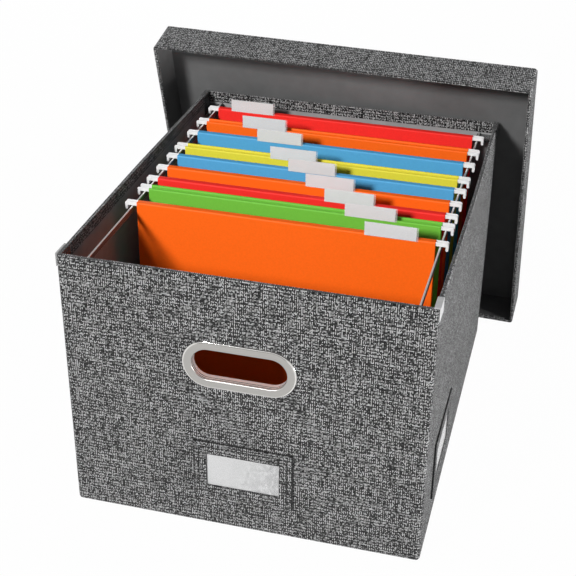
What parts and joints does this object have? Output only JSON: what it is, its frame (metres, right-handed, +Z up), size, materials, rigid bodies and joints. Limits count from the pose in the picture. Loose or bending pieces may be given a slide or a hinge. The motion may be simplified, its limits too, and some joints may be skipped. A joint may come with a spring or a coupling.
{
  "type": "file box",
  "caption": "Fabric-covered file box with grommet handles, label pockets, hanging rails in corner clips, coloured hanging folders and a lift-off lid leaning behind it.",
  "frame": {"origin": "middle of the box's underside, on the surface that it stands on", "axes": "+Z up; -Y out of the front wall, which has the handle and the label pocket; +X to the right seen from the front"},
  "size_m": [0.4351, 0.515, 0.3514],
  "materials": {
    "fabric_cover": "heathered linen-look cloth",
    "lining": "plain matt cloth-backed lining",
    "board": "plain grey-brown board, hidden",
    "bezel": "satin moulded plastic",
    "handle_ring": "satin moulded plastic",
    "clear_film": "clear plastic film",
    "label_card": "smooth card",
    "rail": "satin steel strip",
    "clip": "white moulded plastic",
    "hanger_bar": "white coated steel strip",
    "tab": "clear plastic over a white insert",
    "folder_red": "dyed hanging-folder card",
    "folder_orange": "dyed hanging-folder card",
    "folder_blue": "dyed hanging-folder card",
    "folder_yellow": "dyed hanging-folder card",
    "folder_green": "dyed hanging-folder card"
  },
  "bodies": {
    "box": {"outer_cover": "fabric_cover", "base_cover": "fabric_cover", "inner_lining": "lining", "front_board": "board", "back_board": "board", "left_front_board": "board", "left_rear_board": "board", "right_front_board": "board", "right_rear_board": "board", "base_board": "board", "bottom_insert": "lining", "front_handle_bezel": "bezel", "front_handle_ring": "handle_ring", "back_handle_bezel": "bezel", "back_handle_ring": "handle_ring", "front_label_pocket": "fabric_cover", "front_label_film": "clear_film", "side_label_pocket": "fabric_cover", "side_label_film": "clear_film", "left_rail": "rail", "right_rail": "rail", "clip_front_left": "clip", "clip_front_right": "clip", "clip_back_left": "clip", "clip_back_right": "clip"},
    "lid": {"lid_cover": "fabric_cover", "lid_top_board": "board", "lid_skirt_boards": "board", "lid_lining": "lining"},
    "front_card": {"front_label_card": "label_card"},
    "side_card": {"side_label_card": "label_card"},
    "hanging_folder_1": {"folder_1": "folder_red", "folder_1_bars": "hanger_bar", "folder_1_tab": "tab"},
    "hanging_folder_2": {"folder_2": "folder_orange", "folder_2_bars": "hanger_bar", "folder_2_tab": "tab"},
    "hanging_folder_3": {"folder_3": "folder_blue", "folder_3_bars": "hanger_bar", "folder_3_tab": "tab"},
    "hanging_folder_4": {"folder_4": "folder_yellow", "folder_4_bars": "hanger_bar", "folder_4_tab": "tab"},
    "hanging_folder_5": {"folder_5": "folder_blue", "folder_5_bars": "hanger_bar", "folder_5_tab": "tab"},
    "hanging_folder_6": {"folder_6": "folder_orange", "folder_6_bars": "hanger_bar", "folder_6_tab": "tab"},
    "hanging_folder_7": {"folder_7": "folder_red", "folder_7_bars": "hanger_bar", "folder_7_tab": "tab"},
    "hanging_folder_8": {"folder_8": "folder_green", "folder_8_bars": "hanger_bar", "folder_8_tab": "tab"},
    "hanging_folder_9": {"folder_9": "folder_orange", "folder_9_bars": "hanger_bar", "folder_9_tab": "tab"}
  },
  "joints": [
    {"name": "lid_lift", "type": "slide", "parent": "box", "child": "lid", "axis": [0, 0, 1], "range_m": [0, 0.32]},
    {"name": "front_card_slide", "type": "slide", "parent": "box", "child": "front_card", "axis": [0, 0, 1], "range_m": [0, 0.056]},
    {"name": "side_card_slide", "type": "slide", "parent": "box", "child": "side_card", "axis": [0, 0, 1], "range_m": [0, 0.056]},
    {"name": "folder_1_slide", "type": "slide", "parent": "box", "child": "hanging_folder_1", "axis": [0, 1, 0], "range_m": [-0.0146, 0.0125]},
    {"name": "folder_2_slide", "type": "slide", "parent": "box", "child": "hanging_folder_2", "axis": [0, 1, 0], "range_m": [-0.0115, 0.0146]},
    {"name": "folder_3_slide", "type": "slide", "parent": "box", "child": "hanging_folder_3", "axis": [0, 1, 0], "range_m": [-0.014, 0.0115]},
    {"name": "folder_4_slide", "type": "slide", "parent": "box", "child": "hanging_folder_4", "axis": [0, 1, 0], "range_m": [-0.008, 0.014]},
    {"name": "folder_5_slide", "type": "slide", "parent": "box", "child": "hanging_folder_5", "axis": [0, 1, 0], "range_m": [-0.0109, 0.008]},
    {"name": "folder_6_slide", "type": "slide", "parent": "box", "child": "hanging_folder_6", "axis": [0, 1, 0], "range_m": [-0.0096, 0.0109]},
    {"name": "folder_7_slide", "type": "slide", "parent": "box", "child": "hanging_folder_7", "axis": [0, 1, 0], "range_m": [-0.0061, 0.0096]},
    {"name": "folder_8_slide", "type": "slide", "parent": "box", "child": "hanging_folder_8", "axis": [0, 1, 0], "range_m": [-0.0121, 0.0061]},
    {"name": "folder_9_slide", "type": "slide", "parent": "box", "child": "hanging_folder_9", "axis": [0, 1, 0], "range_m": [-0.1203, 0.0121]}
  ]
}
